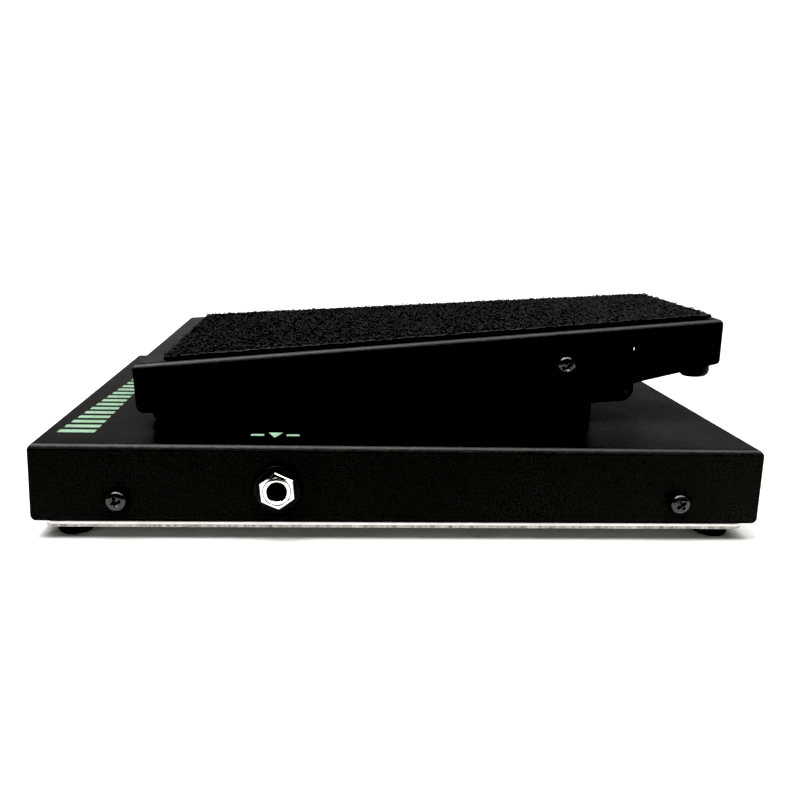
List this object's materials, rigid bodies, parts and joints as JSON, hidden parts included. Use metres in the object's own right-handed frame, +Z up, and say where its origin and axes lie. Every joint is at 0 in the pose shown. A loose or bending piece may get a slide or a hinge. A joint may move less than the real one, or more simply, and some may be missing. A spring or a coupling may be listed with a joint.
{
  "type": "volume pedal",
  "caption": "Foot-operated volume pedal: low steel base box with side sockets and a long rocking treadle on a cross pivot, topped with a non-slip pad.",
  "frame": {"origin": "on the floor under the middle of the base", "axes": "+Y towards the toe end, +Z up, +X to the player's right"},
  "size_m": [0.1594, 0.2476, 0.0755],
  "materials": {
    "powder_coat": "fine-textured black powder coat",
    "zinc_plate": "zinc-plated steel",
    "black_screw": "black oxide, slightly glossy",
    "nickel": "bright nickel plating",
    "rubber": "moulded black rubber",
    "grip_pad": "coarse curled-fibre non-slip mat",
    "black_plastic": "moulded plastic",
    "nylon": "natural nylon",
    "vane_paint": "matt black",
    "circuit_board": "solder mask",
    "battery_jacket": "printed steel jacket, no print",
    "lead_red": "PVC insulation",
    "lead_black": "PVC insulation"
  },
  "bodies": {
    "base": {"base_cover": "powder_coat", "bottom_plate": "zinc_plate", "battery_9v": "battery_jacket", "battery_snap": "black_plastic", "battery_lead_red": "lead_red", "battery_lead_black": "lead_black", "battery_door_pin": "zinc_plate", "board_standoff_heel_right": "nylon", "board_standoff_toe_left": "nylon", "circuit_board": "circuit_board", "lamp_holder": "black_plastic", "photocell_holder": "black_plastic", "output_jack_body": "black_plastic", "output_jack_washer": "black_plastic", "output_jack_nut": "nickel", "input_jack_body": "black_plastic", "input_jack_washer": "black_plastic", "input_jack_nut": "nickel", "power_socket": "black_plastic", "power_socket_nut": "black_plastic", "pivot_bracket": "powder_coat", "pivot_washer_left": "nylon", "pivot_washer_right": "nylon", "rubber_foot_toe_left": "rubber", "foot_screw_toe_left": "zinc_plate", "cover_screw_toe_left": "black_screw", "bracket_screw_toe_left": "zinc_plate", "rubber_foot_toe_right": "rubber", "foot_screw_toe_right": "zinc_plate", "cover_screw_toe_right": "black_screw", "bracket_screw_toe_right": "zinc_plate", "rubber_foot_heel_left": "rubber", "foot_screw_heel_left": "zinc_plate", "cover_screw_heel_left": "black_screw", "bracket_screw_heel_left": "zinc_plate", "rubber_foot_heel_right": "rubber", "foot_screw_heel_right": "zinc_plate", "cover_screw_heel_right": "black_screw", "bracket_screw_heel_right": "zinc_plate"},
    "treadle": {"treadle": "powder_coat", "treadle_channel": "powder_coat", "grip_pad": "grip_pad", "channel_tie_rod": "zinc_plate", "shutter_vane": "vane_paint", "shutter_screw_heel": "zinc_plate", "shutter_screw_toe": "zinc_plate", "pivot_screw_left": "black_screw", "pivot_spacer_left": "zinc_plate", "pivot_nut_left": "zinc_plate", "heel_bumper_left": "rubber", "toe_bumper_left": "rubber", "pivot_screw_right": "black_screw", "pivot_spacer_right": "zinc_plate", "pivot_nut_right": "zinc_plate", "heel_bumper_right": "rubber", "toe_bumper_right": "rubber"},
    "battery_door": {"battery_door": "black_plastic"}
  },
  "joints": [
    {"name": "treadle_rock", "type": "hinge", "parent": "base", "child": "treadle", "pos_m": [0, -0.0621, 0.0554], "axis": [1, 0, 0], "range_deg": [0, 16.5]},
    {"name": "battery_door_swing", "type": "hinge", "parent": "base", "child": "battery_door", "pos_m": [0, -0.077, 0.0056], "axis": [1, 0, 0], "range_deg": [0, 90]}
  ]
}
